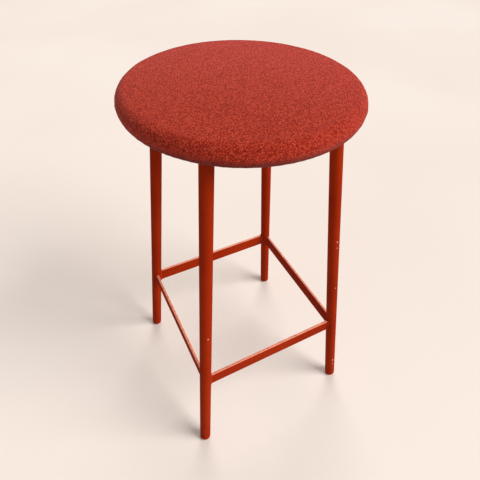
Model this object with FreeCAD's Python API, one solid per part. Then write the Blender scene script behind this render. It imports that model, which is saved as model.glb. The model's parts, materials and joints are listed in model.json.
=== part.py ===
import FreeCAD, Part
import math
import os

# A four-legged bar stool: a round upholstered seat bolted to a welded steel frame whose tube legs
# lean outwards to the floor and carry a ring of four footrest bars.
# The origin is on the floor under the middle of the seat. +Z is up and -Y is the front.

# Overall sizes, in millimetres
SEAT_HEIGHT = 730.0            # floor to the crown of the cushion
SEAT_DIAMETER = 390.0          # across the widest line of the cushion
FOOT_SPACING = 332.0           # between neighbouring leg centrelines on the floor
TOP_SPACING = 216.0            # between neighbouring leg centrelines at the corner plates' top face
FOOTREST_HEIGHT = 207.0        # floor to the top of the footrest bars

# Frame stock
TUBE_DIAMETER = 22.2
TUBE_WALL = 1.5
BAR_HEIGHT = 30.0               # of the footrest bars
TOP_RAIL_HEIGHT = 14.0
BAR_WIDTH = 5.0                # of the footrest bars and the top rails
BAR_CORNER = 1.2               # rounding of the bars' long edges
WELD_SIZE = 2.2                # how far a weld bead stands out from both surfaces it joins

# Corner plates
PLATE_THICKNESS = 4.0
PLATE_REACH = 80.0             # length of each straight side of a corner plate
PLATE_MARGIN = 2.0             # plate edge beyond the leg tube
PLATE_TIP_RADIUS = 6.0         # rounding of the two sharp tips of a corner plate

# Feet
GLIDE_SHOULDER = 9.0           # from the floor, along the leg, to the end of the tube
GLIDE_ROUNDING = 6.0           # rounding of the foot's lower edge
GLIDE_WEAR_DEPTH = 0.6         # how much of the rounded foot the floor line takes off
GLIDE_STEM_LENGTH = 22.0
GLIDE_STEM_CHAMFER = 1.5
GLIDE_STEM_CLEARANCE = 0.15    # between the stem and the tube's bore

# Cushion
CUSHION_THICKNESS = 48.0       # underside of the hem to the crown
CUSHION_CROWN = 9.0            # how much thicker the middle is than the round side is tall
COVER_THICKNESS = 1.8
SOFT_GAP = 0.3                 # between the cover and the foam
HEM_WIDTH = 32.0               # how far the cover's hem reaches in under the board
BOARD_THICKNESS = 12.0
BOARD_EDGE_INSET = 1.5         # from where the cushion's underside starts to round in to the board's edge
DUST_COVER_THICKNESS = 0.8
DUST_COVER_OVERLAP = 26.0      # how far the dust cover reaches out over the hem

# Seat fasteners: M6 button-head bolts, plain washers and T-nuts
BOLT_INSET = 19.0              # from a leg's centreline in to its bolt, along X and along Y
BOLT_DIAMETER = 6.0
BOLT_END_DEPTH = 1.7           # from the T-nut's flange down to the bolt's end
BOLT_HEAD_DIAMETER = 11.0
BOLT_HEAD_HEIGHT = 3.3
BOLT_HEAD_CROWN = 1.8          # height of the rounded part of the head
BOLT_HEAD_FLAT = 8.0           # across the flat face of the head, round the socket
BOLT_HEAD_BULGE = 0.3          # how far the rounded part stands out from a plain cone
SOCKET_ACROSS_FLATS = 4.0
SOCKET_DEPTH = 2.0
BOLT_HOLE_CLEARANCE = 0.3      # all round a bolt
WASHER_DIAMETER = 13.0
WASHER_THICKNESS = 1.6
T_NUT_BARREL_DIAMETER = 8.0
T_NUT_BARREL_LENGTH = 9.0
T_NUT_FLANGE_DIAMETER = 19.0
T_NUT_FLANGE_THICKNESS = 1.5
T_NUT_THREAD_CLEARANCE = 0.05
T_NUT_POCKET_CLEARANCE = 0.4   # round and over the flange, in the foam

# Staples
STAPLE_WIDTH = 10.0
STAPLE_WIRE_WIDTH = 1.0
STAPLE_WIRE_THICKNESS = 0.6
STAPLE_LEG_LENGTH = 6.0
COVER_STAPLE_COUNT = 28
COVER_STAPLE_INSET = 9.0       # from the hem's inner edge out to its staples
STAPLE_BOLT_CLEARANCE = 4.0    # least distance from a cover staple to a bolt hole
DUST_STAPLE_INSET = 5.0        # from the dust cover's edge in to its staples
DUST_STAPLES_PER_SIDE = 4
STAPLE_PLATE_CLEARANCE = 0.5   # least distance from a dust cover staple to a corner plate

# Heights that follow from the sizes above
CUSHION_BASE = SEAT_HEIGHT - CUSHION_THICKNESS
BOARD_BASE = CUSHION_BASE + COVER_THICKNESS
BOARD_TOP = BOARD_BASE + BOARD_THICKNESS
FRAME_TOP = CUSHION_BASE - DUST_COVER_THICKNESS
PLATE_BASE = FRAME_TOP - PLATE_THICKNESS
FOOTREST_MIDDLE = FOOTREST_HEIGHT - BAR_HEIGHT / 2
TOP_RAIL_MIDDLE = PLATE_BASE - TOP_RAIL_HEIGHT / 2

BOLT_LENGTH = BOARD_TOP + T_NUT_FLANGE_THICKNESS - BOLT_END_DEPTH - PLATE_BASE + WASHER_THICKNESS

# Radii that follow from the sizes above
SEAT_RADIUS = SEAT_DIAMETER / 2
CUSHION_EDGE_RADIUS = (CUSHION_THICKNESS - CUSHION_CROWN) / 2
TUBE_RADIUS = TUBE_DIAMETER / 2
BORE_RADIUS = TUBE_RADIUS - TUBE_WALL
BOARD_RADIUS = SEAT_RADIUS - CUSHION_EDGE_RADIUS - BOARD_EDGE_INSET
HEM_RADIUS = SEAT_RADIUS - CUSHION_EDGE_RADIUS - HEM_WIDTH
DUST_COVER_RADIUS = HEM_RADIUS + DUST_COVER_OVERLAP
BOLT_HOLE_RADIUS = BOLT_DIAMETER / 2 + BOLT_HOLE_CLEARANCE

UP = FreeCAD.Vector(0, 0, 1)
CORNERS = {
    "front_left": (-1, -1),
    "front_right": (1, -1),
    "back_left": (-1, 1),
    "back_right": (1, 1),
}
SIDE_ANGLES = {"front": 0, "right": 90, "back": 180, "left": 270}


def point(x, y, z):
    return FreeCAD.Vector(x, y, z)


def cylinder(radius, height, base):
    """An upright cylinder on the point base."""
    return Part.makeCylinder(radius, height, base, UP)


def revolved(edges):
    """The solid of revolution about Z of a closed chain of edges in the XZ plane."""
    face = Part.Face(Part.Wire(edges))
    return face.revolve(point(0, 0, 0), UP, 360)


def line(start, end):
    return Part.makeLine(start, end)


def arc(start, middle, end):
    return Part.Arc(start, middle, end).toShape()


def group(solids):
    return Part.makeCompound(solids)


def turned(shape, degrees):
    """A copy of the shape, turned about the stool's upright axis."""
    copy = shape.copy()
    copy.rotate(point(0, 0, 0), UP, degrees)
    return copy


# Frame

def leg_offset(height):
    """Distance from the stool's middle planes to a leg's centreline at a height."""
    return (FOOT_SPACING + (TOP_SPACING - FOOT_SPACING) * height / FRAME_TOP) / 2


def leg_point(corner, height):
    side_x, side_y = CORNERS[corner]
    return point(side_x * leg_offset(height), side_y * leg_offset(height), height)


def leg_direction(corner):
    """Unit vector up along a leg's centreline."""
    return (leg_point(corner, FRAME_TOP) - leg_point(corner, 0)).normalize()


def leg_cylinder(corner, radius, start=0.0):
    """A cylinder along a leg's centreline from start, measured along it, to past the frame's top."""
    direction = leg_direction(corner)
    length = 2 * FRAME_TOP
    return Part.makeCylinder(radius, length, leg_point(corner, 0) + direction * start, direction)


def below(height):
    """The whole space under a height that the stool can take up."""
    width = 4 * max(FOOT_SPACING, SEAT_DIAMETER)
    depth = 2 * SEAT_HEIGHT
    return Part.makeBox(width, width, depth, point(-width / 2, -width / 2, height - depth))


def leg(corner):
    outside = leg_cylinder(corner, TUBE_RADIUS, GLIDE_SHOULDER)
    bore = leg_cylinder(corner, BORE_RADIUS, GLIDE_SHOULDER)
    return outside.cut(bore).common(below(PLATE_BASE))


def glide(corner):
    """The foot: a rounded cap as wide as the tube, on a stem pressed into its bore."""
    low = -GLIDE_WEAR_DEPTH
    stem = BORE_RADIUS - GLIDE_STEM_CLEARANCE
    stem_top = GLIDE_SHOULDER + GLIDE_STEM_LENGTH
    slant = GLIDE_ROUNDING * (1 - math.sqrt(0.5))
    outline = [
        line(point(0, 0, low), point(TUBE_RADIUS - GLIDE_ROUNDING, 0, low)),
        arc(
            point(TUBE_RADIUS - GLIDE_ROUNDING, 0, low),
            point(TUBE_RADIUS - slant, 0, low + slant),
            point(TUBE_RADIUS, 0, low + GLIDE_ROUNDING),
        ),
        line(point(TUBE_RADIUS, 0, low + GLIDE_ROUNDING), point(TUBE_RADIUS, 0, GLIDE_SHOULDER)),
        line(point(TUBE_RADIUS, 0, GLIDE_SHOULDER), point(stem, 0, GLIDE_SHOULDER)),
        line(point(stem, 0, GLIDE_SHOULDER), point(stem, 0, stem_top - GLIDE_STEM_CHAMFER)),
        line(point(stem, 0, stem_top - GLIDE_STEM_CHAMFER), point(stem - GLIDE_STEM_CHAMFER, 0, stem_top)),
        line(point(stem - GLIDE_STEM_CHAMFER, 0, stem_top), point(0, 0, stem_top)),
        line(point(0, 0, stem_top), point(0, 0, low)),
    ]
    foot = revolved(outline)
    foot.Placement = FreeCAD.Placement(leg_point(corner, 0), FreeCAD.Rotation(UP, leg_direction(corner)))
    return foot.cut(below(0))


def bar_block(offset, middle, width, height, corner_radius):
    """A bar along X at the front, between the centrelines of the two front legs."""
    block = Part.makeBox(2 * offset, width, height, point(-offset, -offset - width / 2, middle - height / 2))
    long_edges = [edge for edge in block.Edges if edge.Length > offset]
    return block.makeFillet(corner_radius, long_edges)


def front_bar(middle, height):
    """A flat bar on edge between the front legs, its ends shaped to the legs."""
    bar = bar_block(leg_offset(middle), middle, BAR_WIDTH, height, BAR_CORNER)
    for corner in ("front_left", "front_right"):
        bar = bar.cut(leg_cylinder(corner, TUBE_RADIUS))
    return bar


def front_quarter():
    """The space in front of the upright planes through the leg centrelines, where the beads mitre."""
    reach = 2 * max(FOOT_SPACING, SEAT_DIAMETER)
    outline = [point(0, 0, 0), point(-reach, -reach, 0), point(reach, -reach, 0)]
    return Part.Face(Part.makePolygon(outline + outline[:1])).extrude(point(0, 0, SEAT_HEIGHT))


def front_bar_welds(middle, height):
    """The bead round each end of a front bar, where it meets the leg."""
    offset = leg_offset(middle)
    bar = bar_block(offset, middle, BAR_WIDTH, height, BAR_CORNER)
    growth = 2 * WELD_SIZE
    collar = bar_block(offset, middle, BAR_WIDTH + growth, height + growth, BAR_CORNER + WELD_SIZE).cut(bar)
    beads = []
    for corner in ("front_left", "front_right"):
        bead = collar.common(leg_cylinder(corner, TUBE_RADIUS + WELD_SIZE)).common(front_quarter())
        beads.extend(bead.cut(leg_cylinder(corner, TUBE_RADIUS)).common(below(PLATE_BASE)).Solids)
    return beads


def all_round(solids):
    """Copies of the front's solids on all four sides."""
    return [turned(solid, angle) for angle in SIDE_ANGLES.values() for solid in solids]


def plate_edges():
    """Distances from the stool's middle planes to a corner plate's outer edge and to its tips."""
    outer = leg_offset(FRAME_TOP) + TUBE_RADIUS + PLATE_MARGIN
    return outer, outer - PLATE_REACH


def corner_plate(corner):
    """A triangular plate over the leg's top and the two rails, with a hole for the seat bolt."""
    side_x, side_y = CORNERS[corner]
    outer, inner = plate_edges()
    outline = [
        point(side_x * outer, side_y * outer, PLATE_BASE),
        point(side_x * inner, side_y * outer, PLATE_BASE),
        point(side_x * outer, side_y * inner, PLATE_BASE),
    ]
    plate = Part.Face(Part.makePolygon(outline + outline[:1])).extrude(point(0, 0, PLATE_THICKNESS))
    plate = plate.makeFillet(TUBE_RADIUS + PLATE_MARGIN, edges_over(plate, outline[:1]))
    plate = plate.makeFillet(PLATE_TIP_RADIUS, edges_over(plate, outline[1:]))
    return plate.cut(bolt_hole(corner, BOLT_HOLE_RADIUS))


def edges_over(plate, places):
    """The plate's upright edges that stand on any of the places on its underside."""
    middles = [place + UP * (PLATE_THICKNESS / 2) for place in places]
    return [edge for edge in plate.Edges if any((edge.CenterOfMass - at).Length < 0.01 for at in middles)]


def corner_plate_welds(rails, rail_beads):
    """The bead under each corner plate round its leg, where the rails leave the tube free."""
    beads = []
    for corner in CORNERS:
        ring = leg_cylinder(corner, TUBE_RADIUS + WELD_SIZE).cut(leg_cylinder(corner, TUBE_RADIUS))
        ring = ring.common(below(PLATE_BASE)).cut(below(PLATE_BASE - WELD_SIZE))
        beads.extend(ring.cut(rails).cut(rail_beads).Solids)
    return beads


# Seat fasteners

def bolt_point(corner, height):
    side_x, side_y = CORNERS[corner]
    inset = leg_offset(FRAME_TOP) - BOLT_INSET
    return point(side_x * inset, side_y * inset, height)


def bolt_hole(corner, radius):
    """The upright hole of one bolt through everything between the frame and the foam."""
    height = BOARD_TOP - PLATE_BASE
    return cylinder(radius, height, bolt_point(corner, PLATE_BASE))


def bolt(corner):
    """A button-head bolt, head down, with a hexagon socket."""
    head_top = PLATE_BASE - WASHER_THICKNESS
    head_base = head_top - BOLT_HEAD_HEIGHT
    rim = BOLT_HEAD_DIAMETER / 2
    flat = BOLT_HEAD_FLAT / 2
    outline = [
        line(point(0, 0, head_base), point(flat, 0, head_base)),
        arc(
            point(flat, 0, head_base),
            point((flat + rim) / 2 + BOLT_HEAD_BULGE, 0, head_base + BOLT_HEAD_CROWN / 2),
            point(rim, 0, head_base + BOLT_HEAD_CROWN),
        ),
        line(point(rim, 0, head_base + BOLT_HEAD_CROWN), point(rim, 0, head_top)),
        line(point(rim, 0, head_top), point(0, 0, head_top)),
        line(point(0, 0, head_top), point(0, 0, head_base)),
    ]
    shank = cylinder(BOLT_DIAMETER / 2, BOLT_LENGTH, point(0, 0, head_top))
    body = revolved(outline).fuse(shank).removeSplitter()
    socket = hexagon(SOCKET_ACROSS_FLATS, SOCKET_DEPTH, head_base)
    body = body.cut(socket)
    body.translate(bolt_point(corner, 0))
    return body


def hexagon(across_flats, height, base):
    """An upright hexagonal prism round the Z axis."""
    radius = across_flats / math.sqrt(3)
    turns = [math.radians(60 * step) for step in range(6)]
    outline = [point(radius * math.cos(turn), radius * math.sin(turn), base) for turn in turns]
    return Part.Face(Part.makePolygon(outline + outline[:1])).extrude(point(0, 0, height))


def washer(corner):
    base = bolt_point(corner, PLATE_BASE - WASHER_THICKNESS)
    hole = cylinder(BOLT_HOLE_RADIUS, WASHER_THICKNESS, base)
    return cylinder(WASHER_DIAMETER / 2, WASHER_THICKNESS, base).cut(hole)


def t_nut(corner):
    """A flanged nut let into the board from above."""
    barrel_base = BOARD_TOP - T_NUT_BARREL_LENGTH
    barrel = cylinder(T_NUT_BARREL_DIAMETER / 2, T_NUT_BARREL_LENGTH, bolt_point(corner, barrel_base))
    flange = cylinder(T_NUT_FLANGE_DIAMETER / 2, T_NUT_FLANGE_THICKNESS, bolt_point(corner, BOARD_TOP))
    thread = cylinder(
        BOLT_DIAMETER / 2 + T_NUT_THREAD_CLEARANCE,
        T_NUT_BARREL_LENGTH + T_NUT_FLANGE_THICKNESS,
        bolt_point(corner, barrel_base),
    )
    return barrel.fuse(flange).removeSplitter().cut(thread)


# Staples

def staple(radius, crown_base, degrees):
    """A staple driven upwards, its crown across the radius, its crown's underside at crown_base."""
    half = STAPLE_WIDTH / 2
    start = radius - STAPLE_WIRE_WIDTH / 2
    wire, thickness = STAPLE_WIRE_WIDTH, STAPLE_WIRE_THICKNESS
    solid = Part.makeBox(wire, STAPLE_WIDTH, thickness, point(start, -half, crown_base))
    for edge in (-half, half - thickness):
        solid = solid.fuse(Part.makeBox(wire, thickness, STAPLE_LEG_LENGTH, point(start, edge, crown_base)))
    return turned(solid.removeSplitter(), degrees)


def near_a_bolt(radius, degrees):
    """Whether a staple at this radius and angle would come too close to a bolt hole."""
    turn = math.radians(degrees)
    middle = point(radius * math.cos(turn), radius * math.sin(turn), 0)
    nearest = min((middle - bolt_point(corner, 0)).Length for corner in CORNERS)
    return nearest < STAPLE_WIDTH / 2 + T_NUT_BARREL_DIAMETER / 2 + STAPLE_BOLT_CLEARANCE


def cover_staples():
    """Staples all round the hem, with none where a bolt comes through it."""
    radius = HEM_RADIUS + COVER_STAPLE_INSET
    angles = [360.0 * index / COVER_STAPLE_COUNT for index in range(COVER_STAPLE_COUNT)]
    return group([staple(radius, CUSHION_BASE, angle) for angle in angles if not near_a_bolt(radius, angle)])


def free_angle(radius):
    """How far to either side of a side's middle a staple at this radius stays clear of the plates."""
    outer, inner = plate_edges()
    room = STAPLE_WIDTH / 2 + STAPLE_PLATE_CLEARANCE
    outside_plates = math.acos(min(1.0, (outer + room) / radius))
    between_plates = math.asin(min(1.0, max(0.0, (inner - room) / radius)))
    return math.degrees(max(outside_plates, between_plates))


def dust_cover_staples():
    """Staples through the dust cover and the hem, clear of the corner plates."""
    radius = DUST_COVER_RADIUS - DUST_STAPLE_INSET
    crown_base = FRAME_TOP - STAPLE_WIRE_THICKNESS
    step = 2 * free_angle(radius) / DUST_STAPLES_PER_SIDE
    offsets = [step * (index + 0.5) - free_angle(radius) for index in range(DUST_STAPLES_PER_SIDE)]
    angles = [side + offset for side in SIDE_ANGLES.values() for offset in offsets]
    return group([staple(radius, crown_base, angle) for angle in angles])


# Seat

def cushion_shape(inset):
    """The crowned round cushion, taken in by inset all over."""
    edge_radius = CUSHION_EDGE_RADIUS - inset
    edge_centre = SEAT_RADIUS - CUSHION_EDGE_RADIUS
    edge_height = CUSHION_BASE + CUSHION_EDGE_RADIUS
    rise = SEAT_HEIGHT - edge_height
    # The crown is the arc through the cushion's top that runs smoothly into the rounded side.
    crown_radius = (edge_centre**2 + rise**2 - CUSHION_EDGE_RADIUS**2) / (2 * (rise - CUSHION_EDGE_RADIUS))
    crown_centre = SEAT_HEIGHT - crown_radius
    lean = math.atan2(edge_centre, edge_height - crown_centre)

    def on_crown(angle):
        reach = crown_radius - inset
        return point(reach * math.sin(angle), 0, crown_centre + reach * math.cos(angle))

    top = point(0, 0, SEAT_HEIGHT - inset)
    side = point(edge_centre + edge_radius, 0, edge_height)
    bottom = point(edge_centre, 0, CUSHION_BASE + inset)
    middle = point(0, 0, CUSHION_BASE + inset)
    return revolved([
        arc(top, on_crown(lean / 2), on_crown(lean)),
        arc(on_crown(lean), side, bottom),
        line(bottom, middle),
        line(middle, top),
    ])


def seat_board(staples):
    board = cylinder(BOARD_RADIUS, BOARD_THICKNESS, point(0, 0, BOARD_BASE))
    for corner in CORNERS:
        board = board.cut(bolt_hole(corner, T_NUT_BARREL_DIAMETER / 2 + T_NUT_THREAD_CLEARANCE))
    return board.cut(staples)


def seat_foam(staples):
    """Foam over the board and round its edge, with a pocket over each T-nut's flange."""
    foam = cushion_shape(COVER_THICKNESS + SOFT_GAP)
    foam = foam.cut(cylinder(BOARD_RADIUS, BOARD_TOP - CUSHION_BASE, point(0, 0, CUSHION_BASE)))
    pocket_radius = T_NUT_FLANGE_DIAMETER / 2 + T_NUT_POCKET_CLEARANCE
    pocket_height = T_NUT_FLANGE_THICKNESS + T_NUT_POCKET_CLEARANCE
    for corner in CORNERS:
        foam = foam.cut(cylinder(pocket_radius, pocket_height, bolt_point(corner, BOARD_TOP)))
    return foam.cut(staples)


def seat_cover(staples):
    """The fabric skin, drawn over the foam and stapled under the board in a hem."""
    skin = cushion_shape(0).cut(cushion_shape(COVER_THICKNESS))
    skin = skin.cut(cylinder(HEM_RADIUS, COVER_THICKNESS, point(0, 0, CUSHION_BASE)))
    for corner in CORNERS:
        skin = skin.cut(bolt_hole(corner, BOLT_HOLE_RADIUS))
    return skin.cut(staples)


def dust_cover(staples):
    cloth = cylinder(DUST_COVER_RADIUS, DUST_COVER_THICKNESS, point(0, 0, FRAME_TOP))
    for corner in CORNERS:
        cloth = cloth.cut(bolt_hole(corner, BOLT_HOLE_RADIUS))
    return cloth.cut(staples)


def make_nodes():
    """Every piece of the stool by name."""
    nodes = {}
    footrest_bar = front_bar(FOOTREST_MIDDLE, BAR_HEIGHT)
    top_rail = front_bar(TOP_RAIL_MIDDLE, TOP_RAIL_HEIGHT)
    for corner in CORNERS:
        nodes["leg_" + corner] = leg(corner)
        nodes["glide_" + corner] = glide(corner)
        nodes["corner_plate_" + corner] = corner_plate(corner)
    for side, angle in SIDE_ANGLES.items():
        nodes["footrest_" + side] = turned(footrest_bar, angle)
        nodes["top_rail_" + side] = turned(top_rail, angle)
    rail_beads = group(all_round(front_bar_welds(TOP_RAIL_MIDDLE, TOP_RAIL_HEIGHT)))
    rails = group([nodes["top_rail_" + side] for side in SIDE_ANGLES])
    nodes["footrest_welds"] = group(all_round(front_bar_welds(FOOTREST_MIDDLE, BAR_HEIGHT)))
    nodes["top_rail_welds"] = rail_beads
    nodes["corner_plate_welds"] = group(corner_plate_welds(rails, rail_beads))
    nodes["seat_bolts"] = group([bolt(corner) for corner in CORNERS])
    nodes["seat_washers"] = group([washer(corner) for corner in CORNERS])
    nodes["seat_t_nuts"] = group([t_nut(corner) for corner in CORNERS])
    nodes["cover_staples"] = cover_staples()
    nodes["dust_cover_staples"] = dust_cover_staples()
    staples = group([nodes["cover_staples"], nodes["dust_cover_staples"]])
    nodes["seat_board"] = seat_board(staples)
    nodes["seat_foam"] = seat_foam(staples)
    nodes["seat_cover"] = seat_cover(staples)
    nodes["dust_cover"] = dust_cover(nodes["dust_cover_staples"])
    return nodes


os.makedirs("parts", exist_ok=True)
for name, shape in make_nodes().items():
    shape.exportStep("parts/" + name + ".step")
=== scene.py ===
import json
import math

import bpy
import numpy as np
from mathutils import Matrix, Vector


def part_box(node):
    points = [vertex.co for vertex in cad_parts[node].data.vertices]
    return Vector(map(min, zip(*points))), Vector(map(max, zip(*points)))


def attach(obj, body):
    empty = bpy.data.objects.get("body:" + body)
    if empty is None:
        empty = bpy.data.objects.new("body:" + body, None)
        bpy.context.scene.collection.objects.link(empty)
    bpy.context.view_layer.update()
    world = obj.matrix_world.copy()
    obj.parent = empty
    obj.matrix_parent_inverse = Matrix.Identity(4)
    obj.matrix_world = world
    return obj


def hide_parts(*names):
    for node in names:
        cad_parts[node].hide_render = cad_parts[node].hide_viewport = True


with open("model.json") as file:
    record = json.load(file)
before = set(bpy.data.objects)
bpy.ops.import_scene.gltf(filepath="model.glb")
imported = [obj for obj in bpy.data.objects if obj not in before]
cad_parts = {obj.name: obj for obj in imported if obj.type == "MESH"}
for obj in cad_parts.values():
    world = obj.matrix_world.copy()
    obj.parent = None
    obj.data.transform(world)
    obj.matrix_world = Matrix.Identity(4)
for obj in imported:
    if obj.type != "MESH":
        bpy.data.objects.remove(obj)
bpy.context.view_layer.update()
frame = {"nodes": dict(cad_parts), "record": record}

# The stool stands on the floor with its seat over the origin. All sizes are in metres.
MM = 0.001
SIDES = ("front", "right", "back", "left")
CORNERS = ("front_left", "front_right", "back_left", "back_right")

# Sizes read off the frame
COVER_LOW, COVER_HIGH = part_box("seat_cover")
BOARD_LOW, BOARD_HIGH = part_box("seat_board")
DUST_LOW, DUST_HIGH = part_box("dust_cover")
BAR_LOW, BAR_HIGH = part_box("footrest_front")
RAIL_LOW, RAIL_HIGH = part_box("top_rail_front")
PLATE_LOW, PLATE_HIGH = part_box("corner_plate_front_right")
SEAT_RADIUS = (COVER_HIGH.x - COVER_LOW.x) / 2
BOARD_RADIUS = (BOARD_HIGH.x - BOARD_LOW.x) / 2
BAR_OFFSET = -(BAR_LOW.y + BAR_HIGH.y) / 2
DUST_RADIUS = (DUST_HIGH.x - DUST_LOW.x) / 2
TUBE_RADIUS = 11.1 * MM
LEG_FOOT = abs(frame["record"]["mounts"][0]["pos_m"][0])
LEG_TOP = PLATE_HIGH.x - TUBE_RADIUS - 2 * MM
LEG_TOP_HEIGHT = PLATE_HIGH.z

# Cushion
CROWN = 9 * MM                     # how much the middle stands above the round side
COVER_THICKNESS = 1.8 * MM
HEM_WIDTH = 32 * MM
EDGE_RADIUS = (COVER_HIGH.z - COVER_LOW.z - CROWN) / 2
EDGE_CENTRE = SEAT_RADIUS - EDGE_RADIUS
EDGE_HEIGHT = COVER_LOW.z + EDGE_RADIUS


def leg_offset(height):
    """How far out a leg's centreline is at a height, along X and along Y."""
    return LEG_FOOT + (LEG_TOP - LEG_FOOT) * height / LEG_TOP_HEIGHT


# ---------------------------------------------------------------- modelling by hand

def deselect_all():
    bpy.ops.object.select_all(action="DESELECT")


def pick(piece):
    """Makes a piece the only selected and active object."""
    deselect_all()
    piece.select_set(True)
    bpy.context.view_layer.objects.active = piece


def named(name):
    """Names the object that was just added."""
    piece = bpy.context.object
    piece.name = name
    piece.data.name = name
    return piece


def edit(piece, kind, wanted):
    """Opens a piece in edit mode with only the chosen faces, edges or vertices selected."""
    pick(piece)
    mesh = piece.data
    for items in (mesh.vertices, mesh.edges, mesh.polygons):
        items.foreach_set("select", [False] * len(items))
    items = {"VERT": mesh.vertices, "EDGE": mesh.edges, "FACE": mesh.polygons}[kind]
    for item in items:
        item.select = wanted(item)
    bpy.context.tool_settings.mesh_select_mode = (kind == "VERT", kind == "EDGE", kind == "FACE")
    bpy.ops.object.mode_set(mode="EDIT")


def done():
    bpy.ops.object.mode_set(mode="OBJECT")


def finish_with(piece, kind, **settings):
    """Adds a modifier and applies it."""
    pick(piece)
    modifier = piece.modifiers.new(kind.title(), kind)
    for name, value in settings.items():
        setattr(modifier, name, value)
    bpy.ops.object.modifier_apply(modifier=modifier.name)


def copy_of(piece, name):
    copy = piece.copy()
    copy.data = piece.data.copy()
    copy.name = name
    copy.data.name = name
    bpy.context.scene.collection.objects.link(copy)
    return copy


def points_of(piece):
    points = np.empty(len(piece.data.vertices) * 3)
    piece.data.vertices.foreach_get("co", points)
    return points.reshape(-1, 3)


def move_points(piece, points):
    piece.data.vertices.foreach_set("co", np.asarray(points, float).ravel())
    piece.data.update()


def join(pieces, name):
    deselect_all()
    for piece in pieces:
        piece.select_set(True)
    bpy.context.view_layer.objects.active = pieces[0]
    bpy.ops.object.join()
    return named(name)


def smooth(piece, degrees=40):
    pick(piece)
    bpy.ops.object.shade_smooth_by_angle(angle=math.radians(degrees))


def wear(piece, finish):
    """Gives a piece one finish."""
    piece.data.materials.clear()
    piece.data.materials.append(finish)


# ---------------------------------------------------------------- shader arithmetic

class Socket:
    """An output socket that Python's arithmetic adds Math nodes to."""

    def __init__(self, finish, socket):
        self.finish = finish
        self.socket = socket

    def __add__(self, other):
        return self.finish.math("ADD", self, other)

    def __sub__(self, other):
        return self.finish.math("SUBTRACT", self, other)

    def __rsub__(self, other):
        return self.finish.math("SUBTRACT", other, self)

    def __mul__(self, other):
        return self.finish.math("MULTIPLY", self, other)

    def __truediv__(self, other):
        return self.finish.math("DIVIDE", self, other)

    def __gt__(self, other):
        return self.finish.math("GREATER_THAN", self, other)

    def __lt__(self, other):
        return self.finish.math("LESS_THAN", self, other)

    def __abs__(self):
        return self.finish.math("ABSOLUTE", self)

    __radd__ = __add__
    __rmul__ = __mul__


class Finish:
    """A procedural material for one kind of surface."""

    def __init__(self, name, **shader_values):
        self.material = bpy.data.materials.new(name)
        self.material.use_nodes = True
        self.tree = self.material.node_tree
        self.shader = self.tree.nodes["Principled BSDF"]
        for key, value in shader_values.items():
            self.shader.inputs[key.replace("_", " ")].default_value = value

    def node(self, kind, settings, values, output=0):
        """Any node: its type, its settings, then the values or links of its sockets."""
        node = self.tree.nodes.new("ShaderNode" + kind)
        for name, setting in settings.items():
            if name == "stops":
                self.set_stops(node.color_ramp, setting)
            else:
                setattr(node, name, setting)
        for name, value in values.items():
            self.feed(node.inputs[name], value)
        return Socket(self, node.outputs[output])

    def set_stops(self, ramp, stops):
        while len(ramp.elements) < len(stops):
            ramp.elements.new(0.5)
        for element, (place, colour) in zip(ramp.elements, stops):
            element.position = place
            element.color = (*colour, 1)

    def feed(self, socket, value):
        if isinstance(value, Socket):
            self.tree.links.new(value.socket, socket)
        else:
            socket.default_value = value

    def math(self, operation, *values):
        return self.node("Math", {"operation": operation}, dict(enumerate(values)))

    def clamp(self, value):
        return self.node("Clamp", {}, {"Value": value})

    def between(self, value, low, high):
        """0 below low, 1 above high, and a smooth step between."""
        settings = {"interpolation_type": "SMOOTHSTEP"}
        return self.node("MapRange", settings, {"Value": value, "From Min": low, "From Max": high})

    def mix(self, share, first, second, blend="MIX"):
        """Two colours, mixed."""
        node = self.tree.nodes.new("ShaderNodeMix")
        node.data_type = "RGBA"
        node.blend_type = blend
        self.feed(node.inputs[0], share)
        self.feed(node.inputs[6], first)
        self.feed(node.inputs[7], second)
        return Socket(self, node.outputs[2])

    def place(self, stretch=(1, 1, 1)):
        """A place on the object, in metres, stretched along its axes."""
        place = self.node("TexCoord", {}, {}, "Object")
        return self.node("Mapping", {}, {"Vector": place, "Scale": stretch})

    def flat_cloth(self, scale=1.0, degrees=0.0):
        """A place on the cloth as it lay flat before it was pulled over the cushion, in metres."""
        place = self.node("UVMap", {"uv_map": "cloth"}, {}, "UV")
        turn = (0, 0, math.radians(degrees))
        return self.node("Mapping", {}, {"Vector": place, "Scale": (scale,) * 3, "Rotation": turn})

    def noise(self, where, scale, detail=2.0, roughness=0.5, distortion=0.0, output="Fac"):
        values = {"Vector": where, "Scale": scale, "Detail": detail, "Roughness": roughness,
                  "Distortion": distortion}
        return self.node("TexNoise", {}, values, output)

    def cells(self, where, scale, output="Distance", randomness=1.0):
        values = {"Vector": where, "Scale": scale, "Randomness": randomness}
        return self.node("TexVoronoi", {}, values, output)

    def axes(self, place):
        """The X, Y and Z of a place."""
        return [self.node("SeparateXYZ", {}, {"Vector": place}, axis) for axis in "XYZ"]

    def bump(self, height, distance, strength=1.0):
        values = {"Height": height, "Distance": distance, "Strength": strength}
        self.feed(self.shader.inputs["Normal"], self.node("Bump", {}, values))

    def colour(self, value):
        self.feed(self.shader.inputs["Base Color"], value)

    def roughness(self, value):
        self.feed(self.shader.inputs["Roughness"], value)


def rgb(red, green, blue):
    """A linear colour from 0 to 255 display values."""
    def linear(value):
        value = value / 255
        return value / 12.92 if value <= 0.04045 else ((value + 0.055) / 1.055) ** 2.4
    return (linear(red), linear(green), linear(blue), 1)


# ---------------------------------------------------------------- finishes

def spot(finish, centre, size, ragged):
    """A ragged round spot about a place on the object."""
    distance = finish.node("VectorMath", {"operation": "DISTANCE"}, {0: finish.place(), 1: centre}, "Value")
    return 1 - finish.between(distance + ragged * size * 0.9, size * 0.9, size * 1.25)


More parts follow.
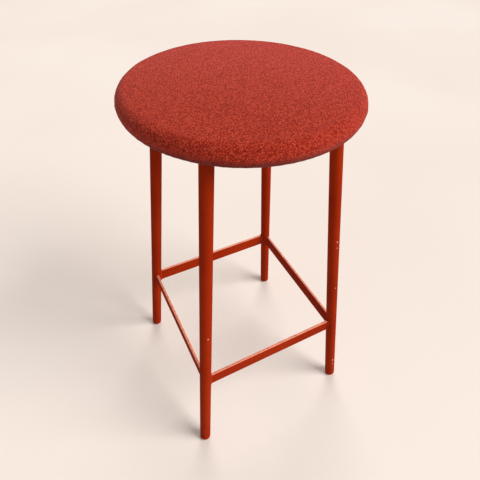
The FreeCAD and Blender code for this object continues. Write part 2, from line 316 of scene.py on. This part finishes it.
def small_chips(finish, ragged, density, size):
    """Small chips: a few cells of a scattered pattern, each with a ragged dot at its middle."""
    place = finish.place()
    distance = finish.cells(place, density)
    chosen = finish.node("SeparateColor", {}, {"Color": finish.cells(place, density, "Color")}, "Red") > 0.93
    return (1 - finish.between(distance + ragged * size * 0.9, size * 0.9, size * 1.2)) * chosen


# The largest paint chips are on the front of the two front legs.
# Each has a leg (-1 left, 1 right), a height above the floor and a size.
KNOCKS = (
    (-1, 325 * MM, 2 * MM),
    (1, 440 * MM, 2 * MM),
    (1, 425 * MM, 1.5 * MM),
    (1, 315 * MM, 1.5 * MM),
    (1, 65 * MM, 2.5 * MM),
    (1, 50 * MM, 1.5 * MM),
)


def front_of_leg(side, height):
    """The place on the front of a front leg at a height."""
    return (side * leg_offset(height), -leg_offset(height) - TUBE_RADIUS, height)


def powder_coat():
    """Terracotta powder coat: fine orange peel, rubbed bar tops with a painted highlight, scuffs near the
    floor and small chips.
    """
    finish = Finish("terracotta_powder_coat", Coat_Roughness=0.28, Specular_IOR_Level=0.0)
    place = finish.place()
    x, y, z = finish.axes(place)
    broad = finish.noise(place, 9, 3)
    fine = finish.noise(place, 220, 4)
    peel = finish.noise(place, 620, 2)
    ragged = finish.noise(place, 900, 3)
    colour = finish.mix(finish.between(broad, 0.3, 0.7), rgb(146, 35, 4), rgb(157, 43, 7))
    colour = finish.mix(finish.between(fine, 0.5, 0.8) * 0.4, colour, rgb(118, 21, 2))
    # The footrest bars are rubbed along their upper edges and on top, where shoes rest; the pale salmon there
    # is also a painted highlight of the light grazing the bar tops.
    from_middle = abs(finish.math("MAXIMUM", abs(x), abs(y)) - BAR_OFFSET)
    near_edge = finish.between(from_middle, 0.6 * MM, 2.0 * MM)
    near_top = finish.between(z, BAR_HIGH.z - 1.2 * MM, BAR_HIGH.z - 0.4 * MM) * (z < BAR_HIGH.z + 0.5 * MM)
    streaks = 0.55 + 0.45 * finish.between(finish.noise(finish.place((6, 6, 40)), 22, 5, 0.7), 0.35, 0.6)
    on_bar = 1 - finish.between(from_middle, 2.6 * MM, 3.0 * MM)
    rub_wear_and_glint = finish.clamp(near_top * streaks * on_bar * (0.6 + 0.4 * near_edge))
    finish.feed(finish.shader.inputs["Coat Weight"], 0.06 + 0.3 * rub_wear_and_glint)
    # The feet of the legs are scuffed.
    low = 1 - finish.between(z, 20 * MM, 120 * MM)
    scuffs = finish.between(finish.noise(finish.place((1, 1, 0.35)), 170, 4, 0.65), 0.6, 0.72) * low
    wear_and_glint = finish.clamp(rub_wear_and_glint * 0.95 + scuffs * 0.12)
    # Pale salmon on the bar tops is part rub wear, part painted highlight; the scuffs near the floor are
    # wear.
    colour = finish.mix(wear_and_glint, colour, rgb(255, 172, 142))
    chip = small_chips(finish, ragged, 24, 0.035) + small_chips(finish, ragged, 60, 0.04) * low
    for side, height, size in KNOCKS:
        chip = chip + spot(finish, front_of_leg(side, height), size, ragged)
    chip = finish.clamp(chip)
    colour = finish.mix(chip, colour, rgb(236, 206, 186))
    finish.colour(colour)
    finish.roughness(0.33 + 0.14 * fine + 0.1 * wear_and_glint + 0.3 * chip)
    finish.bump(peel * 0.5 + fine * 0.2 - chip * 1.2, 0.12 * MM, 0.7)
    return finish.material


def foot_plastic():
    """Moulded plug in the frame's colour, with a matt grain and floor scuffs underneath."""
    finish = Finish("moulded_foot_plastic", Coat_Weight=0.06, Coat_Roughness=0.4, Specular_IOR_Level=0.0)
    place = finish.place()
    _, _, z = finish.axes(place)
    grain = finish.noise(place, 1400, 2)
    cloud = finish.noise(place, 60, 4)
    scuff = finish.between(finish.noise(finish.place((1, 1, 3)), 260, 5, 0.7), 0.5, 0.7)
    worn = scuff * (1 - finish.between(z, 1 * MM, 9 * MM))
    colour = finish.mix(finish.between(cloud, 0.3, 0.7), rgb(142, 32, 3), rgb(156, 40, 5))
    finish.colour(finish.mix(worn * 0.7, colour, rgb(84, 60, 50)))
    finish.roughness(0.48 + 0.2 * grain + 0.2 * worn)
    finish.bump(grain + worn * 0.6, 0.08 * MM, 0.6)
    return finish.material


def weld_coat():
    """The same powder coat, a little glossier over the weld ripples, with painted highlights on the spatter.
    """
    finish = Finish("powder_coat_on_welds", Coat_Weight=0.15, Coat_Roughness=0.25, Specular_IOR_Level=0.0)
    place = finish.place()
    spatter_and_glint = finish.noise(place, 900, 3)
    cloud = finish.noise(place, 140, 3)
    colour = finish.mix(finish.between(cloud, 0.35, 0.7), rgb(156, 40, 5), rgb(176, 54, 14))
    # Painted highlight: pale salmon specks on the spatter peaks.
    finish.colour(finish.mix(finish.between(spatter_and_glint, 0.66, 0.74) * 0.6, colour, rgb(226, 150, 124)))
    finish.roughness(0.3 + 0.2 * spatter_and_glint)
    finish.bump(spatter_and_glint, 0.2 * MM, 0.6)
    return finish.material


LOOP_PITCH = 1.9 * MM
WEAVE_TURN = 38                    # degrees between the weave and the stool's sides


def woven_boucle():
    """Red wool boucle: loose rows of curled loops, some paler or deeper, with painted shade in the gaps
    between them, painted light across the top and painted shade where it turns under.
    """
    finish = Finish("red_boucle_weave", Sheen_Weight=0.42, Sheen_Roughness=0.45, Specular_IOR_Level=0.12,
                    Sheen_Tint=rgb(232, 130, 118))
    flat = finish.flat_cloth(1 / LOOP_PITCH, WEAVE_TURN)
    x, y, z = finish.axes(finish.place())
    # The rows of loops wander a little.
    wander = finish.noise(flat, 0.45, 2, output="Color")
    rows = finish.node("VectorMath", {"operation": "MULTIPLY_ADD"}, {0: wander, 1: (0.9, 0.9, 0), 2: flat})
    distance = finish.cells(rows, 1.0, randomness=0.6)
    dye = finish.node("SeparateColor", {}, {"Color": finish.cells(rows, 1.0, "Color", 0.6)}, "Red")
    loop = 1 - finish.between(distance, 0.08, 0.66)
    # Each loop is a curl of fine twisted yarn.
    ply = finish.math("SINE", distance * 34 + dye * 20 + finish.noise(rows, 3.5, 2) * 9) * 0.5 + 0.5
    fibre = finish.noise(rows, 9, 3)
    height = loop * 0.7 + ply * 0.14 + fibre * 0.16
    # Painted light: warmer towards the front left, pinker and lighter towards the back right, as the light
    # falls across the seat.
    painted_light_tone = finish.between(x * 0.9 + y + 0.05 * finish.noise(flat, 0.06, 2), -0.17, 0.2)
    tone = finish.mix(painted_light_tone, rgb(202, 68, 42), rgb(222, 78, 66))
    tone = finish.mix(finish.between(dye, 0.5, 0.95) * loop * 0.32, tone, rgb(228, 112, 92))
    tone = finish.mix(finish.between(1 - dye, 0.6, 0.9) * 0.65, tone, rgb(148, 26, 20))
    # Painted shade: the gaps between the loops are painted dark, for the shade down between them.
    painted_gap_shade = 1 - finish.between(height, 0.12, 0.46)
    tone = finish.mix(painted_gap_shade * 0.85, tone, rgb(112, 11, 8))
    # Painted shade: the cloth is painted darker where it turns under the edge, for the shade of its own pile
    # there.
    painted_shade_under_edge = 1 - finish.between(z + (fibre - 0.5) * 6 * MM, EDGE_HEIGHT - 12 * MM, EDGE_HEIGHT + 3 * MM)
    tone = finish.mix(painted_shade_under_edge * 0.92, tone, rgb(74, 8, 9))
    finish.colour(tone)
    finish.roughness(0.86 + 0.12 * fibre)
    finish.bump(height, 0.8 * MM, 0.85)
    return finish.material


def spun_dust_cloth():
    """Black spun-bonded cloth: a grid of tiny pressed dots over matted fibres."""
    finish = Finish("black_spun_cloth", Sheen_Weight=0.1, Specular_IOR_Level=0.25)
    place = finish.place((1, 1, 0.2))
    x, y, _ = finish.axes(finish.place((1 / (1.6 * MM),) * 3))
    dots = finish.math("SINE", x * math.tau) * finish.math("SINE", y * math.tau)
    pressed = finish.between(dots, 0.55, 0.85)
    fibres = finish.noise(place, 700, 5, 0.7, 1.2)
    dust = finish.between(finish.noise(place, 16, 4), 0.55, 0.8)
    colour = finish.mix(finish.between(fibres, 0.3, 0.75), rgb(17, 17, 18), rgb(44, 43, 43))
    colour = finish.mix(pressed * 0.6, colour, rgb(10, 10, 11))
    finish.colour(finish.mix(dust * 0.12, colour, rgb(120, 112, 104)))
    finish.roughness(0.7 + 0.25 * fibres - 0.2 * pressed)
    finish.bump(fibres * 0.5 - pressed * 0.8, 0.3 * MM, 0.8)
    return finish.material


def zinc_plate():
    """Bright zinc on bolts and washers: faint turning marks and a dull bloom."""
    finish = Finish("zinc_plated_steel", Metallic=1.0)
    place = finish.place()
    turning = finish.noise(finish.place((1, 1, 14)), 260, 3)
    bloom = finish.noise(place, 240, 4)
    colour = finish.mix(finish.between(bloom, 0.3, 0.7), rgb(176, 180, 184), rgb(206, 204, 192))
    finish.colour(finish.mix(finish.between(bloom, 0.62, 0.8) * 0.5, colour, rgb(132, 134, 128)))
    finish.roughness(0.26 + 0.3 * bloom)
    finish.bump(turning + bloom * 0.5, 0.05 * MM, 0.5)
    return finish.material


def galvanised_wire():
    """Flattened staple wire, with a drawn grain and duller patches."""
    finish = Finish("galvanised_staple_wire", Metallic=1.0)
    drawn = finish.noise(finish.place((1, 1, 1)), 1800, 3)
    patch = finish.noise(finish.place(), 300, 3)
    finish.colour(finish.mix(finish.between(patch, 0.35, 0.7), rgb(150, 152, 152), rgb(196, 196, 190)))
    finish.roughness(0.35 + 0.25 * patch)
    finish.bump(drawn, 0.03 * MM, 0.5)
    return finish.material


def birch_plywood():
    """Birch plywood: rotary-cut grain on the faces and stacked veneers on the edge."""
    finish = Finish("birch_plywood", Specular_IOR_Level=0.3)
    grain_place = finish.place((1, 9, 1))
    _, _, z = finish.axes(finish.place())
    rings = finish.noise(grain_place, 14, 6, 0.6, 0.8)
    pores = finish.noise(finish.place((8, 90, 8)), 20, 3)
    ply = finish.math("PINGPONG", (z - BOARD_LOW.z) / (1.5 * MM), 1) > 0.5
    radius = finish.node("VectorMath", {"operation": "LENGTH"}, {0: finish.place((1, 1, 0))}, "Value")
    edge = ply * finish.between(radius, BOARD_RADIUS - 0.6 * MM, BOARD_RADIUS - 0.2 * MM)
    colour = finish.mix(finish.between(rings, 0.3, 0.7), rgb(214, 180, 132), rgb(190, 148, 98))
    colour = finish.mix(finish.between(pores, 0.6, 0.8) * 0.4, colour, rgb(140, 98, 60))
    finish.colour(finish.mix(edge * 0.6, colour, rgb(126, 88, 56)))
    finish.roughness(0.62 + 0.2 * pores)
    finish.bump(rings * 0.4 + pores * 0.6, 0.2 * MM, 0.6)
    return finish.material


def cut_foam():
    """Cut polyurethane foam: open cells with a slightly yellowed skin."""
    finish = Finish("cut_seat_foam", Subsurface_Weight=0.1, Specular_IOR_Level=0.2)
    place = finish.place()
    pores = finish.between(finish.cells(place, 700), 0.1, 0.6)
    age = finish.noise(place, 18, 3)
    colour = finish.mix(finish.between(age, 0.3, 0.7), rgb(232, 222, 190), rgb(218, 200, 150))
    # Painted shade: the hollows of the open cells are painted darker.
    finish.colour(finish.mix((1 - pores) * 0.5, colour, rgb(150, 130, 92)))
    finish.roughness(0.9 + 0.08 * pores)
    finish.bump(pores, 0.6 * MM, 0.9)
    return finish.material


# ---------------------------------------------------------------- seat

FOAM_VOXEL = 5.5 * MM
SWELL_START = 4 * MM              # how much smaller than the seat the cushion starts
SWELL_LIMIT = 7 * MM              # how far the stuffing may push any point of the cloth
SWELL_LEFT = 0.3 * MM             # how far the stuffed cloth may stray from the seat's outline


def cushion_block():
    """A turned block a little smaller than the cushion, its edges rounded over and its top crowned."""
    radius = SEAT_RADIUS - SWELL_START
    low = COVER_LOW.z
    high = COVER_HIGH.z - CROWN
    bpy.ops.mesh.primitive_cylinder_add(vertices=128, radius=radius, depth=high - low,
                                        location=(0, 0, (low + high) / 2))
    block = named("cushion_block")
    bpy.ops.object.transform_apply(location=True)
    rim = radius - 1 * MM

    def on_rims(edge):
        ends = [block.data.vertices[index].co for index in edge.vertices]
        return abs(ends[0].z - ends[1].z) < MM and min(end.xy.length for end in ends) > rim

    edit(block, "EDGE", on_rims)
    bpy.ops.mesh.bevel(offset=EDGE_RADIUS * 0.92, segments=8, profile=0.5)
    done()
    finish_with(block, "REMESH", mode="VOXEL", voxel_size=FOAM_VOXEL)
    points = points_of(block)
    height = (points[:, 2] - low) / (high - low)
    radius = np.hypot(points[:, 0], points[:, 1])
    points[:, 2] += height * CROWN * 0.8 * (1 - np.minimum(radius / SEAT_RADIUS, 1) ** 2)
    move_points(block, points)
    return block


def held_group(piece, name, wanted):
    group = piece.vertex_groups.new(name=name)
    group.add([vertex.index for vertex in piece.data.vertices if wanted(vertex.co)], 1.0, "REPLACE")
    return group


def stuff(piece):
    """Fills the cloth from inside until it stands full, its underside held flat on the board."""
    before = points_of(piece)
    held_group(piece, "on_board", lambda at: at.z < COVER_LOW.z + 0.5 * MM and at.xy.length < EDGE_CENTRE)
    pick(piece)
    cloth = piece.modifiers.new("Stuffing", "CLOTH")
    cloth.settings.quality = 6
    cloth.settings.mass = 0.35
    cloth.settings.tension_stiffness = 18
    cloth.settings.compression_stiffness = 18
    cloth.settings.bending_stiffness = 1.2
    cloth.settings.use_pressure = True
    cloth.settings.uniform_pressure_force = 4
    cloth.settings.vertex_group_mass = "on_board"
    cloth.settings.effector_weights.gravity = 0
    cloth.collision_settings.use_collision = False
    cloth.point_cache.frame_start = 1
    cloth.point_cache.frame_end = 20
    for step in range(1, 21):
        bpy.context.scene.frame_set(step)
    bpy.ops.object.modifier_apply(modifier=cloth.name)
    bpy.context.scene.frame_set(1)
    moved = points_of(piece) - before
    length = np.linalg.norm(moved, axis=1, keepdims=True)
    share = np.minimum(1.0, SWELL_LIMIT / np.maximum(length, 1e-9))
    move_points(piece, before + moved * share)
    finish_with(piece, "SMOOTH", factor=0.5, iterations=12)


def seat_outline(points):
    """The nearest places to the points on the seat's plain crowned, round-edged outline."""
    radius = np.hypot(points[:, 0], points[:, 1])
    crown_radius = ((EDGE_CENTRE**2 - EDGE_RADIUS**2 + (EDGE_RADIUS + CROWN) ** 2)
                    / (2 * (EDGE_RADIUS + CROWN) - 2 * EDGE_RADIUS))
    flat_part = np.minimum(radius, EDGE_CENTRE)
    crown = COVER_HIGH.z - crown_radius + np.sqrt(crown_radius**2 - flat_part**2)
    out = np.maximum(radius - EDGE_CENTRE, 0)
    up = points[:, 2] - EDGE_HEIGHT
    reach = np.maximum(np.hypot(out, up), 1e-9)
    on_edge = radius > EDGE_CENTRE
    new_radius = np.where(on_edge, EDGE_CENTRE + out * EDGE_RADIUS / reach, radius)
    level = np.where(up > 0, crown, COVER_LOW.z)
    new_height = np.where(on_edge, EDGE_HEIGHT + up * EDGE_RADIUS / reach, level)
    scale = new_radius / np.maximum(radius, 1e-9)
    return np.stack([points[:, 0] * scale, points[:, 1] * scale, new_height], axis=1)


def fit_to_seat(piece, stray):
    """Brings the cushion to the seat's outline, leaving it to stray a little where the cloth did."""
    points = points_of(piece)
    outline = seat_outline(points)
    away = points - outline
    length = np.linalg.norm(away, axis=1, keepdims=True)
    mean = np.mean(length)
    keep = away * np.clip((length - mean) / np.maximum(length, 1e-9), -1, 1)
    size = np.maximum(np.linalg.norm(keep, axis=1, keepdims=True), 1e-9)
    move_points(piece, outline + keep * np.minimum(1, stray / size))


def flat_distance(points):
    """How far along the pulled cloth each point lies from the seat's middle."""
    radius = np.hypot(points[:, 0], points[:, 1])
    turn = np.arctan2(radius - EDGE_CENTRE, points[:, 2] - EDGE_HEIGHT)
    round_the_side = EDGE_CENTRE + EDGE_RADIUS * np.clip(turn, 0, math.pi)
    under = EDGE_CENTRE + EDGE_RADIUS * math.pi + EDGE_CENTRE - radius
    distance = np.where(radius > EDGE_CENTRE, round_the_side, radius)
    return np.where((radius <= EDGE_CENTRE) & (points[:, 2] < EDGE_HEIGHT), under, distance)


def lay_cloth_map(piece):
    """Maps each point to where it lay on the flat cloth, so that the weave runs over the edge."""
    points = points_of(piece)
    angle = np.arctan2(points[:, 1], points[:, 0])
    flat = flat_distance(points)
    places = np.stack([flat * np.cos(angle), flat * np.sin(angle)], axis=1)
    corners = np.empty(len(piece.data.loops), int)
    piece.data.loops.foreach_get("vertex_index", corners)
    layer = piece.data.uv_layers.new(name="cloth")
    layer.data.foreach_set("uv", places[corners].ravel())


GATHER_COUNT = 84
GATHER_DEPTH = 0.45 * MM


def gather_hem(piece):
    """Small pleats where the round cloth is drawn in under the board."""
    points = points_of(piece)
    radius = np.hypot(points[:, 0], points[:, 1])
    angle = np.arctan2(points[:, 1], points[:, 0])
    lowness = np.clip((EDGE_HEIGHT - points[:, 2]) / EDGE_RADIUS, 0, 1) ** 2
    uneven = 0.7 + 0.3 * np.sin(angle * 7) * np.sin(angle * 3 + 1)
    pleat = (np.sin(angle * GATHER_COUNT + 2 * np.sin(angle * 5)) - 1) * GATHER_DEPTH * lowness * uneven
    points[:, 0] += pleat * np.cos(angle) * (radius > EDGE_CENTRE)
    points[:, 1] += pleat * np.sin(angle) * (radius > EDGE_CENTRE)
    points[:, 2] -= pleat * (radius <= EDGE_CENTRE) * 0.5
    move_points(piece, points)


def unevenness(piece, amount, size):
    """Slight hand-upholstered unevenness."""
    texture = bpy.data.textures.new("uneven", "CLOUDS")
    texture.noise_scale = size
    finish_with(piece, "DISPLACE", texture=texture, strength=amount, mid_level=0.5)


def seat_cushion():
    """The fabric skin over the foam, and the foam itself."""
    cushion = cushion_block()
    stuff(cushion)
    fit_to_seat(cushion, SWELL_LEFT)
    foam = copy_of(cushion, "foam_core")
    finish_with(cushion, "SUBSURF", levels=1, render_levels=1)
    unevenness(cushion, 0.5 * MM, 60 * MM)
    gather_hem(cushion)
    lay_cloth_map(cushion)
    cushion.name = "seat_fabric"
    cushion.data.name = "seat_fabric"
    hem_radius = EDGE_CENTRE - HEM_WIDTH
    edit(cushion, "FACE", lambda face: face.center.z < EDGE_HEIGHT and face.center.xy.length < hem_radius)
    bpy.ops.mesh.delete(type="FACE")
    done()
    finish_with(cushion, "SOLIDIFY", thickness=COVER_THICKNESS, offset=-1)
    smooth(cushion, 60)
    return cushion, foam_core(foam)


def foam_core(foam):
    """Foam inside the cover, cut away for the board."""
    edit(foam, "FACE", lambda face: True)
    bpy.ops.transform.shrink_fatten(value=-(COVER_THICKNESS + 0.6 * MM))
    done()
    depth = 2 * (BOARD_HIGH.z - BOARD_LOW.z)
    bpy.ops.mesh.primitive_cylinder_add(vertices=128, radius=BOARD_RADIUS + 0.4 * MM, depth=depth,
                                        location=(0, 0, BOARD_HIGH.z + 0.4 * MM - depth / 2))
    cutter = named("board_cutter")
    finish_with(foam, "BOOLEAN", object=cutter, operation="DIFFERENCE", solver="EXACT")
    bpy.data.objects.remove(cutter)
    smooth(foam, 50)
    return foam


RINGS_OF_CLOTH = 14


def dust_sheet():
    """The black cloth under the seat, drawn tight between its staples."""
    bpy.ops.mesh.primitive_circle_add(vertices=144, radius=DUST_RADIUS - 1 * MM, fill_type="NGON",
                                      location=(0, 0, DUST_HIGH.z - 0.1 * MM))
    sheet = named("under_seat_cloth")
    bpy.ops.object.transform_apply(location=True)
    edit(sheet, "FACE", lambda face: True)
    for _ in range(RINGS_OF_CLOTH):
        bpy.ops.mesh.inset(thickness=10 * MM)
    bpy.ops.mesh.poke()
    done()
    points = points_of(sheet)
    radius = np.hypot(points[:, 0], points[:, 1])
    angle = np.arctan2(points[:, 1], points[:, 0])
    sag = np.clip(1 - (radius / (DUST_RADIUS * 0.8)) ** 2, 0, 1) * 0.5 * MM
    puckers = np.sin(angle * 16) * np.clip(radius / DUST_RADIUS - 0.72, 0, 1) * 0.9 * MM
    points[:, 2] -= sag + np.abs(puckers)
    move_points(sheet, points)
    edit(sheet, "FACE", lambda face: True)
    bpy.ops.mesh.normals_make_consistent(inside=False)
    done()
    finish_with(sheet, "SOLIDIFY", thickness=0.6 * MM, offset=0)
    smooth(sheet, 50)
    return sheet


# ---------------------------------------------------------------- welds

BAR_HALF_WIDTH = (BAR_HIGH.y - BAR_LOW.y) / 2
BAR_ROUNDING = 1.2 * MM
BEAD_RADIUS = 1.9 * MM
RIPPLE_PITCH = 1.5 * MM
RIPPLE_DEPTH = 0.16
PLACES_ROUND_BAR = 150


def leg_line(corner):
    """The point where a leg's centreline meets the floor, and its direction."""
    side_x = 1 if corner.endswith("right") else -1
    side_y = 1 if corner.startswith("back") else -1
    slope = Vector((LEG_TOP - LEG_FOOT, LEG_TOP - LEG_FOOT, LEG_TOP_HEIGHT))
    direction = Vector((side_x * slope.x, side_y * slope.y, slope.z)).normalized()
    return Vector((side_x * LEG_FOOT, side_y * LEG_FOOT, 0)), direction


def bar_outline(half_width, half_height, corner_radius, count):
    """Evenly spaced points round a bar's section, as (sideways, upwards) from the bar's middle."""
    straight_w = half_width - corner_radius
    straight_h = half_height - corner_radius
    places = []
    lengths = [2 * straight_h, corner_radius * math.pi / 2, 2 * straight_w, corner_radius * math.pi / 2] * 2
    total = sum(lengths)
    for index in range(count):
        run = total * index / count
        side = 0
        while run > lengths[side]:
            run -= lengths[side]
            side += 1
        quarter = side // 2
        if side % 2 == 0:
            half = straight_h if quarter % 2 == 0 else straight_w
            reach = half_width if quarter % 2 == 0 else half_height
            local = (reach, run - half)
        else:
            sweep = run / corner_radius
            base = (straight_w, straight_h) if quarter % 2 == 0 else (straight_h, straight_w)
            local = (base[0] + corner_radius * math.cos(sweep), base[1] + corner_radius * math.sin(sweep))
        turn = quarter * math.pi / 2
        across = local[0] * math.cos(turn) - local[1] * math.sin(turn)
        up = local[0] * math.sin(turn) + local[1] * math.cos(turn)
        places.append((across, up))
    return places


def on_tube(corner, y, z, side_x):
    """The X at which a line along X through y and z meets the leg's surface, on the bar's side."""
    start, direction = leg_line(corner)
    offset = Vector((0, y, z)) - start
    across = Vector((1, 0, 0)) - direction * direction.x
    rest = offset - direction * offset.dot(direction)
    a = across.dot(across)
    b = 2 * across.dot(rest)
    c = rest.dot(rest) - TUBE_RADIUS**2
    root = math.sqrt(max(b * b - 4 * a * c, 0))
    return (-b - side_x * root) / (2 * a)


def bead(name, path, radius, closed=True):
    """A weld bead along a path: a round bead whose width swells and dips with each ripple."""
    curve = bpy.data.curves.new(name, "CURVE")
    curve.dimensions = "3D"
    curve.bevel_depth = radius
    curve.bevel_resolution = 3
    spline = curve.splines.new("POLY")
    spline.points.add(len(path) - 1)
    spline.use_cyclic_u = closed
    run = 0.0
    for index, place in enumerate(path):
        run += (place - path[index - 1]).length if index else 0
        phase = run / RIPPLE_PITCH
        spline.points[index].co = (*place, 1)
        spline.points[index].radius = 1 - RIPPLE_DEPTH * (phase % 1.0) + 0.06 * math.sin(phase * 1.7)
    piece = bpy.data.objects.new(name, curve)
    bpy.context.scene.collection.objects.link(piece)
    pick(piece)
    bpy.ops.object.convert(target="MESH")
    return bpy.context.object


def bar_end_beads(name, low, high):
    """The beads round both ends of the front bar, then round the ends of the other three."""
    middle = (low.z + high.z) / 2
    offset = leg_offset(middle)
    half_height = (high.z - low.z) / 2
    outline = bar_outline(BAR_HALF_WIDTH, half_height, BAR_ROUNDING, PLACES_ROUND_BAR)
    beads = []
    for corner, side_x in (("front_left", -1), ("front_right", 1)):
        path = []
        for across, up in outline:
            y = -offset + across
            path.append(Vector((on_tube(corner, y, middle + up, side_x), y, middle + up)))
        beads.append(bead(name, path, BEAD_RADIUS))
    front = join(beads, name)
    copies = [front]
    for quarter in (1, 2, 3):
        copy = copy_of(front, name + "_" + SIDES[quarter])
        copy.data.transform(Matrix.Rotation(quarter * math.pi / 2, 4, "Z"))
        copies.append(copy)
    welds = join(copies, name)
    smooth(welds, 60)
    return welds


def plate_beads():
    """The bead round each leg under its corner plate."""
    beads = []
    height = PLATE_LOW.z - 0.9 * MM
    for corner in CORNERS:
        start, direction = leg_line(corner)
        middle = start + direction * (height / direction.z)
        path = []
        for index in range(150):
            turn = math.tau * index / 150
            out = Vector((math.cos(turn), math.sin(turn), 0))
            flat = out - direction * out.dot(direction)
            path.append(middle + flat.normalized() * (TUBE_RADIUS + 0.3 * MM))
        for place in path:
            place.z = height
        beads.append(bead("plate_bead", path, 1.6 * MM))
    welds = join(beads, "corner_plate_weld_beads")
    smooth(welds, 60)
    return welds


# ---------------------------------------------------------------- stage, light and camera

def pale_floor():
    """A wide pale floor."""
    bpy.ops.mesh.primitive_plane_add(size=14, location=(0, 0, -0.05 * MM))
    floor = named("floor")
    finish = Finish("pale_floor", Specular_IOR_Level=0.1)
    cloud = finish.noise(finish.place(), 0.8, 2)
    finish.colour(finish.mix(finish.between(cloud, 0.3, 0.7), rgb(233, 223, 215), rgb(236, 228, 221)))
    finish.roughness(0.8 + 0.1 * cloud)
    wear(floor, finish.material)


def soft_sun(name, azimuth, elevation, spread, strength, colour):
    """A broad even light from a compass direction, in degrees to the left of +X, and a height."""
    light = bpy.data.lights.new(name, "SUN")
    light.energy = strength
    light.angle = math.radians(spread)
    light.color = colour
    lamp = bpy.data.objects.new(name, light)
    bpy.context.scene.collection.objects.link(lamp)
    turn = Matrix.Rotation(math.radians(azimuth), 4, "Z")
    tilt = Matrix.Rotation(math.radians(90 - elevation), 4, "Y")
    lamp.matrix_world = turn @ tilt


def studio():
    world = bpy.data.worlds.new("studio")
    bpy.context.scene.world = world
    world.use_nodes = True
    background = world.node_tree.nodes["Background"]
    background.inputs["Color"].default_value = (1.0, 0.94, 0.90, 1)
    background.inputs["Strength"].default_value = 0.24
    soft_sun("side_light", -45, 38, 40, 3.3, (1.0, 0.96, 0.93))
    soft_sun("back_light", 62, 46, 34, 1.15, (1.0, 0.97, 0.96))
    bpy.context.scene.view_settings.view_transform = "Standard"


CAMERA_PLACE = (-0.2905, -0.568, 1.001)
CAMERA_TURN = 28.95               # degrees to the right of straight ahead
CAMERA_TILT = 39.4               # degrees below the horizon
CAMERA_ROLL = 1.86                # degrees
CAMERA_LENS = 32.7               # millimetres, on a 36 mm sensor
CAMERA_SHIFT = (-0.025, -0.077)


def camera():
    data = bpy.data.cameras.new("camera")
    data.sensor_width = 36
    data.lens = CAMERA_LENS
    data.shift_x, data.shift_y = CAMERA_SHIFT
    data.clip_end = 50
    eye = bpy.data.objects.new("camera", data)
    bpy.context.scene.collection.objects.link(eye)
    turn = Matrix.Rotation(math.radians(-CAMERA_TURN), 4, "Z")
    tilt = Matrix.Rotation(math.radians(90 - CAMERA_TILT), 4, "X")
    roll = Matrix.Rotation(math.radians(CAMERA_ROLL), 4, "Z")
    eye.matrix_world = Matrix.Translation(CAMERA_PLACE) @ turn @ tilt @ roll
    bpy.context.scene.camera = eye


# ---------------------------------------------------------------- the stool

def finish_frame():
    coat = powder_coat()
    plastic = foot_plastic()
    zinc = zinc_plate()
    wire = galvanised_wire()
    for name, node in frame["nodes"].items():
        if name.startswith(("leg_", "footrest_", "top_rail_", "corner_plate_")):
            wear(node, coat)
        elif name.startswith("glide_"):
            wear(node, plastic)
        elif name in ("seat_bolts", "seat_washers", "seat_t_nuts"):
            wear(node, zinc)
        elif name.endswith("staples"):
            wear(node, wire)
    wear(frame["nodes"]["seat_board"], birch_plywood())


def place_welds():
    coat = weld_coat()
    made = (
        (bar_end_beads("footrest_weld_beads", BAR_LOW, BAR_HIGH), "footrest_welds"),
        (bar_end_beads("top_rail_weld_beads", RAIL_LOW, RAIL_HIGH), "top_rail_welds"),
        (plate_beads(), "corner_plate_welds"),
    )
    for welds, node in made:
        wear(welds, coat)
        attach(welds, "root")
        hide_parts(node)


def place_seat():
    cushion, foam = seat_cushion()
    wear(cushion, woven_boucle())
    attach(cushion, "root")
    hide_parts("seat_cover")
    wear(foam, cut_foam())
    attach(foam, "root")
    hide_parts("seat_foam")
    sheet = dust_sheet()
    wear(sheet, spun_dust_cloth())
    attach(sheet, "root")
    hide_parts("dust_cover")


finish_frame()
place_welds()
place_seat()
pale_floor()
studio()
camera()
